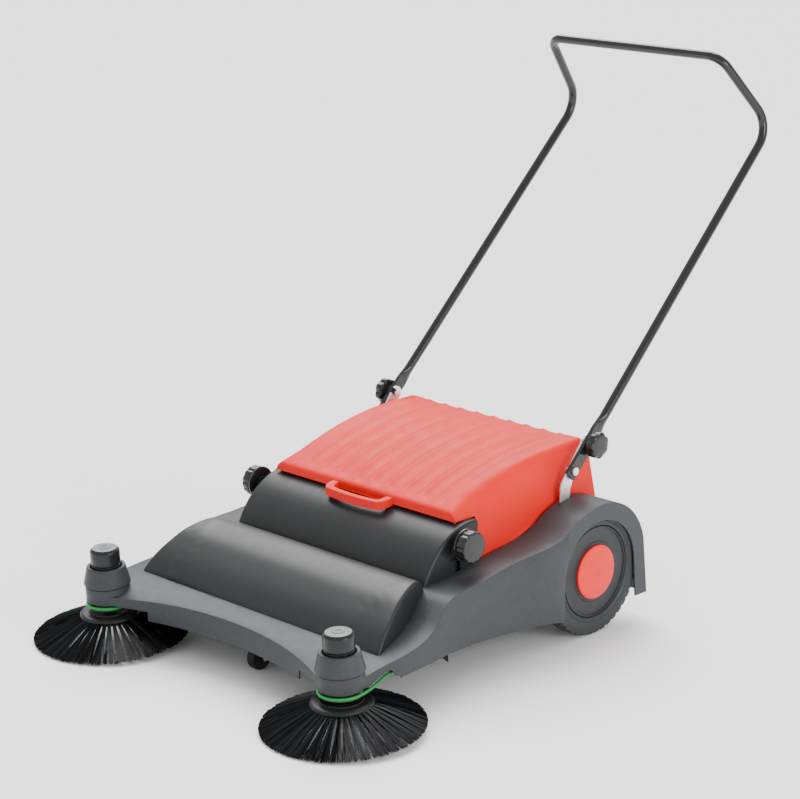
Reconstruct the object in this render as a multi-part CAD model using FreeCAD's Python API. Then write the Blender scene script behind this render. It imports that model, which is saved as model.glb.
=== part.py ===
import FreeCAD, Part
import math
import os

# Walk-behind push sweeper with a roller brush and two side brushes. All sizes in millimetres.
# Working frame: X across the machine, +X on the operator's left; -Y is the front, where the side
# brushes are; +Y is the rear, where the handle is; Z = 0 is the floor; Y = 0 is the wheel axle.
# save() moves every piece by ORIGIN_SHIFT_Y, so that the origin ends up under the middle of the box.

V = FreeCAD.Vector
X_AXIS = V(1, 0, 0)
UP = V(0, 0, 1)

# ---- driving dimensions ------------------------------------------------------------------------
ORIGIN_SHIFT_Y = 108.9

WHEEL_R = 130.0
AXLE_Z = WHEEL_R
AXLE_R = 12.0
TYRE_INNER_X, TYRE_OUTER_X = 302.0, 338.0
TYRE_BORE_R = 93.0
HUB_CAP_R = 55.0

SIDE_X = 345.0                     # outer face of the wheel arches
WALL = 3.5                         # moulded wall thickness of the chassis and covers
PLATE_IN, PLATE_OUT = 258.0, 262.0  # inner side plates of the chassis
OPENING_FRONT_Y, OPENING_REAR_Y = -405.0, 106.0

SIDE_BRUSH_X, SIDE_BRUSH_Y = 327.0, -685.0
SIDE_BRUSH_R = 153.0
SIDE_BRUSH_TILT = 3.4              # degrees, leaning forward
ROUND_BELT_R = 3.0
FRONT_PULLEY_R = 42.0              # to the belt's centre line
REAR_PULLEY_R = 45.0
REAR_PULLEY_X = 280.0

ROLLER_Y, ROLLER_Z = -300.0, 122.0
ROLLER_R, ROLLER_CORE_R = 100.0, 40.0
ROLLER_HALF = 240.0
ROLLER_SHAFT_R = 8.0
ROLLER_ROWS = 18                   # rows of bristle strip round the core
FLAT_BELT_X = 269.0
FLAT_BELT_WHEEL_R, FLAT_BELT_ROLLER_R = 68.0, 30.0
FLAT_BELT_T, FLAT_BELT_W = 3.0, 7.0
STUD_Y, STUD_Z = -321.0, 251.0
STUD_R = 6.0

LID_HINGE_Y, LID_HINGE_Z = 84.0, 230.0
LID_WALL = 3.0
HOPPER_HALF = 235.0
HOOD_RIM_R = 7.0                   # rounding of the hood's end rims

HANDLE_R, HANDLE_WALL = 9.5, 1.5
HANDLE_PIVOT = (3.0, 323.0)        # (y, z) of the handle's hinge bolts
HANDLE_CLAMP = (50.0, 370.0)       # (y, z) of the clamp knobs
LEG_X, LEG_T, LEG_W = 271.4, 8.0, 26.0
BRACKET_Y, BRACKET_BOLT_Z = -12.0, (216.0, 244.0)
RUN_GAP = 0.05                     # radial gap of shafts in bearings
CASTOR_Y, CASTOR_R = -590.0, 25.0
STEM_Y = CASTOR_Y - 16


# ---- helpers -----------------------------------------------------------------------------------
def box(x, y, z):
    return Part.makeBox(x[1] - x[0], y[1] - y[0], z[1] - z[0], V(x[0], y[0], z[0]))


def rod(start, direction, radius, length):
    return Part.makeCylinder(radius, length, V(*start), V(*direction))


def x_rod(x0, x1, y, z, radius):
    return rod((x0, y, z), (1, 0, 0), radius, x1 - x0)


def turned(profile, base, axis):
    """Solid of revolution: profile is (radius, height) pairs, height along axis from base."""
    points = [V(r, 0, h) for r, h in profile]
    face = Part.Face(Part.makePolygon(points + [points[0]]))
    solid = face.revolve(V(0, 0, 0), UP, 360)
    solid.Placement = FreeCAD.Placement(V(*base), FreeCAD.Rotation(UP, V(*axis)))
    return solid


def edges_from(segments, place):
    """Edges for a closed outline: ('line' | 'curve' | 'arc', points); place maps a pair to a vector."""
    edges = []
    for kind, pairs in segments:
        points = [place(*p) for p in pairs]
        if kind == "curve":
            spline = Part.BSplineCurve()
            spline.interpolate(points)
            edges.append(spline.toShape())
        elif kind == "arc":
            edges.append(Part.Arc(*points).toShape())
        else:
            edges += [Part.makeLine(a, b) for a, b in zip(points, points[1:])]
    return edges


def side_prism(segments, x0, x1):
    """Extrudes an outline of (y, z) pairs along X."""
    wire = Part.Wire(edges_from(segments, lambda y, z: V(x0, y, z)))
    return Part.Face(wire).extrude(V(x1 - x0, 0, 0))


def side_plate_shape(points, x0, x1):
    return side_prism([("line", points + [points[0]])], x0, x1)


def mirrored(shape):
    return shape.mirror(V(0, 0, 0), X_AXIS)


def both(shape):
    return Part.makeCompound([shape, mirrored(shape)])


def rounded_path(points, radii):
    """Straight runs joined by tangent arcs; radii holds one radius per inner point."""
    edges, start = [], points[0]
    for i, radius in enumerate(radii, 1):
        corner = points[i]
        into = (points[i - 1] - corner).normalize()
        out = (points[i + 1] - corner).normalize()
        half_turn = (math.pi - into.getAngle(out)) / 2
        reach = radius * math.tan(half_turn)
        first, last = corner + into * reach, corner + out * reach
        middle = (into + out).normalize() * (radius / math.cos(half_turn) - radius)
        edges.append(Part.makeLine(start, first))
        edges.append(Part.Arc(first, corner + middle, last).toShape())
        start = last
    edges.append(Part.makeLine(start, points[-1]))
    return Part.Wire(edges)


def swept_tube(path, radius):
    first = path.Edges[0]
    ring = Part.makeCircle(radius, first.valueAt(first.FirstParameter),
                           first.tangentAt(first.FirstParameter))
    return path.makePipeShell([Part.Wire(ring)], True, False)


def save(name, shape):
    shape = shape.copy()
    shape.translate(V(0, ORIGIN_SHIFT_Y, 0))
    shape.exportStep("parts/%s.step" % name)


def save_pair(name, shape):
    save("left_" + name, shape)
    save("right_" + name, mirrored(shape))


# ---- chassis -----------------------------------------------------------------------------------
def deck_outline(drop):
    """Side view of the deck and wheel arches; drop lowers the skin to make the inner surface."""
    arc_r = 1 - drop / 140.0

    def arch(y, z):
        return 10 + (y - 10) * arc_r, 129 + (z - 129) * arc_r

    deck = [(-745, 100), (-685, 106), (-655, 112), (-600, 119), (-545, 125), (-483, 139), (-450, 160),
            (-424, 178), (-388, 185), (-305, 193), (-205, 208), (-107, 227), (-64, 250), (-22, 264)]
    deck = [(y, z - drop) for y, z in deck] + [arch(14, 268.5)]
    tail = [arch(139, 171), (153 - drop, 51)]
    if drop:
        under = [tail[1], (153 - drop, -20), (-745, -20), deck[0]]
        return [("curve", deck), ("arc", [deck[-1], arch(106, 230), tail[0]]), ("line", tail[:1] + under)]
    under = [("line", [tail[0], tail[1], (-98, 51)]),
             ("curve", [(-98, 51), (-140, 60), (-217, 68), (-318, 73), (-445, 80), (-575, 83)]),
             ("line", [(-575, 83), (-600, 66), (-745, 65), deck[0]])]
    return [("curve", deck), ("arc", [deck[-1], arch(106, 230), tail[0]])] + under


def plan_wire(z, flare, inset):
    """Plan view: concave front between the brush arms, waisted sides, straight wheel arches."""
    tip = 41.0 - inset
    tx, ty, c = SIDE_BRUSH_X, SIDE_BRUSH_Y, math.sqrt(0.5)
    front = [(-275, -708 + inset), (-190, -679 + inset), (0, -656 + inset),
             (190, -679 + inset), (275, -708 + inset)]
    right = [("line", [front[-1], (tx - 0.45 * tip, ty - 0.893 * tip)]),
             ("arc", [(tx - 0.45 * tip, ty - 0.893 * tip), (tx + c * tip, ty - c * tip), (tx + tip, ty)]),
             ("curve", [(tx + tip, ty), (368 - inset, -620), (364 + flare / 2 - inset, -560),
                        (346 + flare - inset, -470), (332 + flare - inset, -390),
                        (328 + flare - inset, -300), (331 + flare - inset, -215),
                        (341.5 + flare / 4 - inset, -142), (SIDE_X - inset, -90)]),
             ("line", [(SIDE_X - inset, -90), (SIDE_X - inset, 153 - inset)])]
    left = [(kind, [(-x, y) for x, y in reversed(points)]) for kind, points in reversed(right)]
    rear = [("line", [(SIDE_X - inset, 153 - inset), (inset - SIDE_X, 153 - inset)])]
    segments = [("curve", front)] + right + rear + left
    return Part.Wire(edges_from(segments, lambda x, y: V(x, y, z)))


def moulding(drop, inset, bottom, top):
    plan = Part.makeLoft([plan_wire(bottom, 12, inset), plan_wire(top, -4, inset)], True, True)
    return plan.common(side_prism(deck_outline(drop), -400, 400))


BRUSH_TILT = math.radians(SIDE_BRUSH_TILT)
BRUSH_AXIS = (0.0, -math.sin(BRUSH_TILT), math.cos(BRUSH_TILT))
BRUSH_BASE = (SIDE_BRUSH_X, SIDE_BRUSH_Y, SIDE_BRUSH_R * math.sin(BRUSH_TILT))
ARM_BOTTOM_H, ARM_TOP_H = 77.0, 107.0


def on_brush(profile):
    return turned(profile, BRUSH_BASE, BRUSH_AXIS)


def wheel_opening():
    arch = x_rod(330, 360, 5, AXLE_Z, 105)
    sides = side_plate_shape([(-100, 0), (-100, AXLE_Z), (109, 148), (118, 50), (118, 0)], 330, 360)
    return arch.fuse(sides)


def side_plate():
    """Inner wall that carries the stub axle, the bracket and the lid pin, and its arm slot."""
    wall = side_plate_shape([(-430, 62), (110, 62), (110, 280), (-430, 280)], PLATE_IN, PLATE_OUT)
    arm_slot = side_plate_shape([(-318, 84), (-286, 84), (-282, 140), (-314, 140)], 250, 270)
    return wall, arm_slot


def chassis():
    outer = moulding(0, 0, 20, 300)
    inner = moulding(WALL, WALL, 19, 301)
    shell = outer.cut(inner)
    wall, arm_slot = side_plate()
    walls = [wall, mirrored(wall), box((-PLATE_OUT, PLATE_OUT), (OPENING_REAR_Y, 110), (66, 200)),
             box((-PLATE_IN, PLATE_IN), (-429, -425), (66, 260)),
             box((-30, 30), (-640, -425), (90, 94))]
    body = shell.fuse([w.common(outer) for w in walls])
    cuts = [box((-PLATE_IN, PLATE_IN), (OPENING_FRONT_Y, OPENING_REAR_Y), (63, 400)),
            box((-PLATE_OUT, PLATE_OUT), (110, 200), (0, 400)),
            box((-PLATE_IN, PLATE_IN), (OPENING_REAR_Y - 1, 200), (200, 400))]
    arm_notch = [(-760, 0), (-760, 84), (-668, 84), (-614, 106), (-604, 104), (-588, 88), (-578, 84),
                 (-578, 0)]
    for side in (1, -1):
        pair = [wheel_opening(), arm_slot, x_rod(250, 270, 0, AXLE_Z, AXLE_R),
                x_rod(250, 270, LID_HINGE_Y, LID_HINGE_Z, 4),
                side_plate_shape(arm_notch, 213, 420),
                on_brush([(0, -30), (56, -30), (56, ARM_BOTTOM_H), (0, ARM_BOTTOM_H)]),
                on_brush([(0, ARM_TOP_H), (46.8, ARM_TOP_H), (46.8, 140), (0, 140)]),
                box((PLATE_OUT, 266.5), (-32, 8), (190, 300))]
        pair += [x_rod(250, 270, BRACKET_Y, z, 4) for z in BRACKET_BOLT_Z]
        cuts += pair if side > 0 else [mirrored(s) for s in pair]
    body = body.cut(cuts)
    pod = on_brush([(0, ARM_BOTTOM_H), (43.5, ARM_BOTTOM_H), (43.5, ARM_TOP_H), (0, ARM_TOP_H)])
    hollow = on_brush([(0, ARM_BOTTOM_H - 30), (39.5, ARM_BOTTOM_H - 30), (39.5, ARM_TOP_H - 4),
                       (0, ARM_TOP_H - 4)])
    bore = on_brush([(0, 60), (16, 60), (16, 130), (0, 130)])
    body = body.fuse([pod, mirrored(pod)]).cut([hollow, mirrored(hollow), bore, mirrored(bore)])
    ledge = box((226, PLATE_OUT), (-150, 60), (57, 62))
    body = body.fuse([ledge, mirrored(ledge)])
    stem_hole = rod((0, STEM_Y, 60), (0, 0, 1), 8 + RUN_GAP, 40)
    return body.cut(stem_hole), outer


# ---- covers ------------------------------------------------------------------------------------
def front_cover(deck):
    front_y, rear_y = -599, -413
    hump = [(front_y, 110), (front_y, 122), (-588, 136), (-570, 155), (-547, 173), (-518, 193),
            (-491, 204), (-462, 211), (-437, 208), (-420, 197), (rear_y, 184)]

    def solid(inset):
        skin = [(y, z - inset) for y, z in hump[1:]]
        skin[0], skin[-1] = (front_y + inset, 110 - inset), (rear_y - inset, 150)
        profile = side_prism([("curve", skin), ("line", [skin[-1], (rear_y - inset, 90),
                              (front_y + inset, 90), skin[0]])], -345, 345)
        plan = [V(-332 + inset, front_y, 80), V(332 - inset, front_y, 80),
                V(267 - inset, rear_y, 80), V(-267 + inset, rear_y, 80)]
        block = Part.Face(Part.makePolygon(plan + [plan[0]])).extrude(V(0, 0, 200))
        return profile.common(block)

    return solid(0).cut(solid(WALL)).cut(deck)


def hood_arc(inset):
    arc = [(-411 + inset, 176), (-407 + inset, 190), (-397 + inset, 210), (-381, 232 - inset),
           (-358, 254 - inset), (-330, 271 - inset), (-300, 281 - inset), (-262, 283 - inset)]
    return [("curve", arc), ("line", [arc[-1], (-262, 150), (-411 + inset, 150), arc[0]])]


def brush_hood(deck):
    outer = side_prism(hood_arc(0), -PLATE_OUT, PLATE_OUT)
    rims = [e for e in outer.Edges
            if e.BoundBox.XLength < 1 and e.Curve.TypeId == "Part::GeomBSplineCurve"]
    outer = outer.makeFillet(HOOD_RIM_R, rims)
    inner = side_prism(hood_arc(WALL), -PLATE_IN, PLATE_IN)
    open_rear = box((-PLATE_IN, PLATE_IN), (-275, -250), (100, 281 - WALL))
    slot = side_plate_shape([(STUD_Y - 4, 192), (STUD_Y + 12, 192), (STUD_Y + 8, STUD_Z + 7),
                             (STUD_Y - 8, STUD_Z + 7), (STUD_Y - 17, 216), (STUD_Y - 4, 216)], 250, 270)
    return outer.cut([inner, open_rear, slot, mirrored(slot), deck])


# ---- wheels ------------------------------------------------------------------------------------
def belt_land(radius):
    """Flanged running surface for the flat belt, as (radius, x) pairs from the inner side outwards."""
    low, edge = radius - 0.4, radius + 3
    x0, x1 = FLAT_BELT_X - FLAT_BELT_W / 2 - 0.5, FLAT_BELT_X + FLAT_BELT_W / 2 + 0.5
    return [(edge, x0 - 1), (edge, x0), (low, x0 + 0.2), (low, x1 - 0.2), (edge, x1), (edge, x1 + 1)]


def wheel_pieces():
    centre, out = (0, 0, AXLE_Z), (1, 0, 0)
    a, b, bore = TYRE_INNER_X, TYRE_OUTER_X, TYRE_BORE_R
    tyre = turned([(bore, a + 2), (WHEEL_R - 10, a), (WHEEL_R - 3, a + 1), (WHEEL_R, a + 4),
                   (WHEEL_R, b - 4), (WHEEL_R - 3, b - 1), (WHEEL_R - 10, b), (bore + 3, b),
                   (bore, b - 2)], centre, out)
    disc = turned([(17, 296), (26, 296), (26, 324), (86, 324), (86, a + 3), (bore, a + 3),
                   (bore, b - 3), (17, b - 3)], centre, out)
    bush = [turned([(AXLE_R + RUN_GAP, x), (17, x), (17, x + 8), (AXLE_R + RUN_GAP, x + 8)], centre, out)
            for x in (297, 316)]
    groove = REAR_PULLEY_R - ROUND_BELT_R - 1.2
    mid = REAR_PULLEY_X
    flat_land = belt_land(FLAT_BELT_WHEEL_R)
    pulley = turned([(14, flat_land[0][1])] + flat_land + [(44, flat_land[-1][1]), (44, mid - 5),
                     (groove, mid - 2), (groove, mid + 2), (43, mid + 6.5), (43, 290), (24, 290),
                     (24, 296), (14, 296)], centre, out)
    cap = turned([(0, b - 3), (HUB_CAP_R, b - 3), (HUB_CAP_R, b), (HUB_CAP_R - 4, b + 2.5),
                  (20, b + 4), (0, b + 4)], centre, out)
    axle = x_rod(246, 327, 0, AXLE_Z, AXLE_R).fuse(x_rod(254, PLATE_IN, 0, AXLE_Z, 22))
    nut = turned([(0, 327), (15, 327), (15, 333), (0, 333)], centre, out)
    return tyre, disc, Part.makeCompound(bush), pulley, cap, axle, nut


# ---- roller brush ------------------------------------------------------------------------------
def flat_belt():
    """Flat belt round the wheel pulley and the roller pulley, with its two straight runs."""
    dy, dz = ROLLER_Y, ROLLER_Z - AXLE_Z
    distance = math.hypot(dy, dz)
    along = math.atan2(dz, dy)
    lean = math.acos((FLAT_BELT_WHEEL_R - FLAT_BELT_ROLLER_R) / distance)
    x0, x1 = FLAT_BELT_X - FLAT_BELT_W / 2, FLAT_BELT_X + FLAT_BELT_W / 2

    def loop(extra):
        def at(cy, cz, radius, angle):
            return cy + radius * math.cos(angle), cz + radius * math.sin(angle)
        big, small = FLAT_BELT_WHEEL_R + extra, FLAT_BELT_ROLLER_R + extra
        up_big, up_small = at(0, AXLE_Z, big, along - lean), at(ROLLER_Y, ROLLER_Z, small, along - lean)
        dn_big, dn_small = at(0, AXLE_Z, big, along + lean), at(ROLLER_Y, ROLLER_Z, small, along + lean)
        back, front = at(0, AXLE_Z, big, along + math.pi), at(ROLLER_Y, ROLLER_Z, small, along)
        return side_prism([("line", [up_big, up_small]), ("arc", [up_small, front, dn_small]),
                           ("line", [dn_small, dn_big]), ("arc", [dn_big, back, up_big])], x0, x1)

    return loop(FLAT_BELT_T).cut(loop(0))


def roller_arm():
    """Plate from the wheel axle to the roller shaft and up to the stud in the hood's end slot."""
    outline = [(14, 118), (14, 144), (-12, 148), (-270, 146), (-306, 200), (-309, 262), (-333, 262),
               (-330, 180), (-318, 108), (-290, 102), (-10, 112)]
    plate = side_plate_shape(outline, 248, 252)
    plate = plate.cut([x_rod(240, 260, 0, AXLE_Z, AXLE_R + RUN_GAP),
                       x_rod(240, 260, ROLLER_Y, ROLLER_Z, ROLLER_SHAFT_R + RUN_GAP)])
    return plate.fuse(x_rod(252, 298, STUD_Y, STUD_Z, STUD_R))


def fluted_knob(x0, y, z, radius, depth, bore_r, bore_depth, flutes):
    """Round clamp knob: neck, thin collar, and a body with shallow flutes round its edge."""
    knob = turned([(bore_r, x0), (13, x0), (13, x0 + 8), (radius + 1, x0 + 8), (radius + 1, x0 + 10.5),
                   (radius, x0 + 11), (radius, x0 + depth - 2), (radius - 2, x0 + depth),
                   (0, x0 + depth), (0, x0 + bore_depth), (bore_r, x0 + bore_depth)], (0, y, z), (1, 0, 0))
    scoop = radius * 2 * math.pi / flutes * 0.42
    cuts = []
    for i in range(flutes):
        a = 2 * math.pi * i / flutes
        reach = radius + scoop * 0.72
        cuts.append(x_rod(x0 + 13, x0 + depth + 1, y + reach * math.cos(a), z + reach * math.sin(a), scoop))
    return knob.cut(cuts)


def roller_pieces():
    def pipe(x0, x1, ro, ri):
        return x_rod(x0, x1, ROLLER_Y, ROLLER_Z, ro).cut(x_rod(x0 - 1, x1 + 1, ROLLER_Y, ROLLER_Z, ri))
    shaft = x_rod(-256, 276, ROLLER_Y, ROLLER_Z, ROLLER_SHAFT_R)
    core = pipe(-ROLLER_HALF, ROLLER_HALF, ROLLER_CORE_R, ROLLER_CORE_R - 5)
    for x in (-ROLLER_HALF, ROLLER_HALF - 5):
        core = core.fuse(pipe(x, x + 5, ROLLER_CORE_R - 4, ROLLER_SHAFT_R))
    drum = x_rod(-ROLLER_HALF, ROLLER_HALF, ROLLER_Y, ROLLER_Z, ROLLER_CORE_R)
    strip = box((4 - ROLLER_HALF, ROLLER_HALF - 4), (ROLLER_Y - 1.5, ROLLER_Y + 1.5),
                (ROLLER_Z + ROLLER_CORE_R - 2, ROLLER_Z + ROLLER_R)).cut(drum)
    rows = []
    for i in range(ROLLER_ROWS):
        row = strip.copy()
        row.rotate(V(0, ROLLER_Y, ROLLER_Z), X_AXIS, 360.0 * i / ROLLER_ROWS)
        rows.append(row)
    bristles = Part.makeCompound(rows)
    land = belt_land(FLAT_BELT_ROLLER_R)
    pulley = turned([(ROLLER_SHAFT_R, land[0][1])] + land + [(ROLLER_SHAFT_R, land[-1][1])],
                    (0, ROLLER_Y, ROLLER_Z), (1, 0, 0))
    return shaft, core, bristles, pulley


# ---- side brushes ------------------------------------------------------------------------------
BELT_H = 69.5


def side_brush_pieces():
    housing = on_brush([(16, ARM_TOP_H - 4), (16, ARM_TOP_H), (45, ARM_TOP_H), (46, 110), (45.2, 115),
                        (38.5, 145), (37, 146.5), (31.5, 146.5), (31.5, 137), (14, 137), (14, 133),
                        (12, 133), (12, ARM_TOP_H - 4)])
    low = FRONT_PULLEY_R - ROUND_BELT_R - 1
    pulley = on_brush([(5.4, 45), (13.9, 45), (13.9, 63), (40.5, 63), (40.5, BELT_H - 4.6),
                       (low, BELT_H - 2), (low, BELT_H + 2), (38, BELT_H + 4.6), (38, 76), (20, 76),
                       (20, 101), (12 - RUN_GAP, 101), (12 - RUN_GAP, 131), (5.4, 131)])
    hub = on_brush([(14.2, 37), (54, 37), (58, 41), (58, 47), (50, 49), (41, 49.5), (41, 54.5),
                    (14.2, 54.5)])
    rim = SIDE_BRUSH_R
    bristles = on_brush([(58, 41), (58, 46), (95, 35), (rim, 6), (rim, 0.2), (rim - 5, 0), (60, 35),
                         (54, 37)])
    knob = on_brush([(0, 137.5), (27, 137.5), (27, 141), (29.6, 142), (29.6, 180), (27.4, 183.4),
                     (23, 184.6), (0, 184.6)])
    spindle = on_brush([(0, 49), (5, 49), (5, 137.5), (0, 137.5)])
    knob = knob.fuse(spindle)
    return housing, pulley, hub, bristles, knob


def round_belt():
    """Round belt from the side brush pulley, through a quarter turn, to the pulley on the wheel."""
    tilt = FreeCAD.Rotation(UP, V(*BRUSH_AXIS))
    centre = V(*BRUSH_BASE) + V(*BRUSH_AXIS) * BELT_H
    wheel = V(REAR_PULLEY_X, 0, AXLE_Z)
    back = tilt.multVec(V(0, 1, 0))
    outer, inner = [centre + tilt.multVec(V(x, 0, 0)) for x in (FRONT_PULLEY_R, -FRONT_PULLEY_R)]
    top, bottom = wheel + V(0, 0, REAR_PULLEY_R), wheel - V(0, 0, REAR_PULLEY_R)

    def run(start, end, leaving, arriving):
        span = end - start
        line = Part.BSplineCurve()
        line.interpolate(Points=[start, start + span * 0.1, start + span * 0.9, end],
                         InitialTangent=leaving, FinalTangent=arriving)
        return line.toShape()

    path = Part.Wire([run(outer, top, back, V(0, 1, 0)),
                      Part.Arc(top, wheel + V(0, REAR_PULLEY_R, 0), bottom).toShape(),
                      run(bottom, inner, V(0, -1, 0), -back),
                      Part.Arc(inner, centre - back * FRONT_PULLEY_R, outer).toShape()])
    ring = Part.Wire(Part.makeCircle(ROUND_BELT_R, outer, back))
    skin = Part.Shell(path.makePipeShell([ring], False, True).Faces)
    skin.sewShape()
    return Part.Solid(skin.Shells[0])


# ---- lid and hopper ----------------------------------------------------------------------------
def lid_block(inset):
    top = [(-311, 301 - inset), (-279, 315 - inset), (-243, 328 - inset), (-205, 339 - inset),
           (-166, 349 - inset), (-119, 358 - inset), (-62, 365 - inset), (2, 369 - inset),
           (62, 370 - inset)]
    front, rear = -311 + inset, -inset
    top[0] = (front, top[0][1])
    profile = [("curve", top), ("arc", [top[-1], (76 + rear, 367 - inset), (84 + rear, 356 - inset)]),
               ("line", [(84 + rear, 356 - inset), (110 + rear, 212), (110 + rear, 170),
                         (front, 170), top[0]])]
    walls = []
    for z, half in ((170, 256.5), (372, 240)):
        half -= inset
        walls.append(Part.makePolygon([V(-half, -320, z), V(half, -320, z), V(half, 130, z),
                                       V(-half, 130, z), V(-half, -320, z)]))
    return side_prism(profile, -300, 300).common(Part.makeLoft(walls, True, True))


def lid():
    shell = lid_block(0).cut(lid_block(LID_WALL))
    below = side_plate_shape([(-330, 100), (-330, 284), (-252, 284), (-250, 276), (-246, 188), (-205, 194),
                              (-160, 206), (-97, 226), (-30, 236), (40, 214), (120, 214), (120, 100)],
                             -300, 300)
    shell = shell.cut([below, box((-253, 253), (-312, -300), (200, 286))])
    outer = [V(-82, -308, 284), V(-80, -328, 284), V(-64, -346, 284), V(64, -346, 284),
             V(80, -328, 284), V(82, -308, 284)]
    hole = [V(-64, -312, 280), V(-62, -322, 280), V(-54, -331, 280), V(54, -331, 280),
            V(62, -322, 280), V(64, -312, 280)]
    grip = Part.Face(Part.makePolygon(outer + [outer[0]])).extrude(V(0, 0, 12))
    grip = grip.cut(Part.Face(Part.makePolygon(hole + [hole[0]])).extrude(V(0, 0, 30)))
    pins = x_rod(-270, 270, LID_HINGE_Y, LID_HINGE_Z, 4 + RUN_GAP)
    return shell.fuse(grip).cut(pins)


def hopper():
    outer = [(-186, 62), (50, 62), (50, 238), (-120, 238), (-186, 150)]
    inner = [(-183, 65), (47, 65), (47, 250), (-117, 250), (-150, 236), (-200, 150), (-183, 150)]
    body = side_plate_shape(outer, -HOPPER_HALF, HOPPER_HALF)
    body = body.cut(side_plate_shape(inner, 3 - HOPPER_HALF, HOPPER_HALF - 3))
    grip = x_rod(3 - HOPPER_HALF, HOPPER_HALF - 3, -60, 224, 7)
    return body, grip


# ---- handle ------------------------------------------------------------------------------------
def handle_leg_line():
    """Foot of the leg and unit vector up the leg, for the +X leg."""
    foot = V(LEG_X, *HANDLE_PIVOT)
    return foot, (V(262, 626, 934) - foot).normalize()


def handle_tube():
    foot, along = handle_leg_line()
    start = foot + along * 135
    bend, corner = V(262, 626, 934), V(228, 492, 1087)

    def flip(v):
        return V(-v.x, v.y, v.z)

    path = rounded_path([start, bend, corner, flip(corner), flip(bend), flip(start)], [55, 38, 38, 55])
    tube = swept_tube(path, HANDLE_R).cut(swept_tube(path, HANDLE_R - HANDLE_WALL))
    flat_end = foot + along * 100
    side = V(1, 0, 0)
    across = along.cross(side).normalize()
    side = across.cross(along).normalize()

    def section(at, half_t, half_w):
        corners = [at + side * (a * half_t) + across * (b * half_w)
                   for a, b in ((1, 1), (1, -1), (-1, -1), (-1, 1), (1, 1))]
        return Part.makePolygon(corners)

    def round_section(at):
        return Part.Wire(Part.makeCircle(HANDLE_R, at, along))

    strap = Part.makeLoft([section(foot - along * 14, LEG_T / 2, LEG_W / 2),
                           section(flat_end, LEG_T / 2, LEG_W / 2)], True, True)
    taper = Part.makeLoft([section(flat_end, LEG_T / 2, LEG_W / 2), round_section(start)], True, False)
    holes = [x_rod(240, 300, *HANDLE_PIVOT, 4 + RUN_GAP), x_rod(240, 300, *HANDLE_CLAMP, 5)]
    legs = []
    for piece in (strap.cut(holes), taper):
        legs += [piece, mirrored(piece)]
    return tube.fuse(legs).removeSplitter()


def bracket():
    """Steel strip from the side plate up to the clamp, with an open slot for the clamp stud."""
    half = 14.0
    py, pz = HANDLE_PIVOT
    cy, cz = HANDLE_CLAMP
    slope = V(0, cy - py, cz - pz).normalize()
    side = V(0, -slope.z, slope.y)
    end = V(0, cy, cz) + slope * 2
    a, b = end + side * half, end - side * half
    tip = end + slope * half
    knee = V(0, BRACKET_Y, 292)
    outline = [("line", [(b.y, b.z), (py + 12, pz - 10), (2, 284), (2, 206), (-26, 206), (-26, 290),
                         (knee.y - 12, knee.z + 8), (a.y, a.z)]),
               ("arc", [(a.y, a.z), (tip.y, tip.z), (b.y, b.z)])]
    strip = side_prism(outline, PLATE_OUT, PLATE_OUT + 4)
    slot = x_rod(250, 280, cy, cz, 5.4)
    reach = V(0, cy, cz) + side * 30
    u = slope * 5.4
    corners = [V(0, cy, cz) + u, reach + u, reach - u * 2, V(0, cy, cz) - u]
    slot = slot.fuse(side_plate_shape([(p.y, p.z) for p in corners], 250, 280))
    holes = [x_rod(250, 280, BRACKET_Y, z, 4) for z in BRACKET_BOLT_Z]
    return strip.cut([slot, x_rod(250, 280, py, pz, 4)] + holes)


# ---- castor ------------------------------------------------------------------------------------
def castor_pieces():
    bore = rod((0, STEM_Y, 60), (0, 0, 1), 8 + RUN_GAP, 40)
    mount = rod((0, STEM_Y, 66), (0, 0, 1), 15, 24).cut(bore)
    fork = box((-17, 17), (STEM_Y - 14, CASTOR_Y + 8), (59, 63))
    for x in (-17, 13):
        fork = fork.fuse(side_plate_shape([(STEM_Y - 6, 60), (CASTOR_Y - 8, 18), (CASTOR_Y + 8, 18),
                                           (CASTOR_Y + 8, 60)], x, x + 4))
    fork = fork.fuse(rod((0, STEM_Y, 62), (0, 0, 1), 8, 30)).cut(x_rod(-30, 30, CASTOR_Y, CASTOR_R, 4))
    pin = x_rod(-19, 19, CASTOR_Y, CASTOR_R, 4)
    wheel = turned([(4 + RUN_GAP, -10), (CASTOR_R - 3, -10), (CASTOR_R, -7), (CASTOR_R, 7),
                    (CASTOR_R - 3, 10), (4 + RUN_GAP, 10)], (0, CASTOR_Y, CASTOR_R), (1, 0, 0))
    return mount, fork, pin, wheel


# ---- small parts -------------------------------------------------------------------------------
def dust_flaps():
    front = box((-250, 250), (-424.8, -422), (32, 104))
    rear = box((-250, 250), (-190, -187.5), (34, 78))
    side = side_plate_shape([(-421, 36), (-356, 30), (-336, 12), (-336, 28), (-200, 28), (-200, 78),
                             (-421, 78)], 253, 256)
    return front, rear, both(side)


def bolt(x0, x1, y, z, radius, head_r, head_t):
    return x_rod(x0, x1, y, z, radius).fuse(x_rod(x1, x1 + head_t, y, z, head_r))


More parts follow.
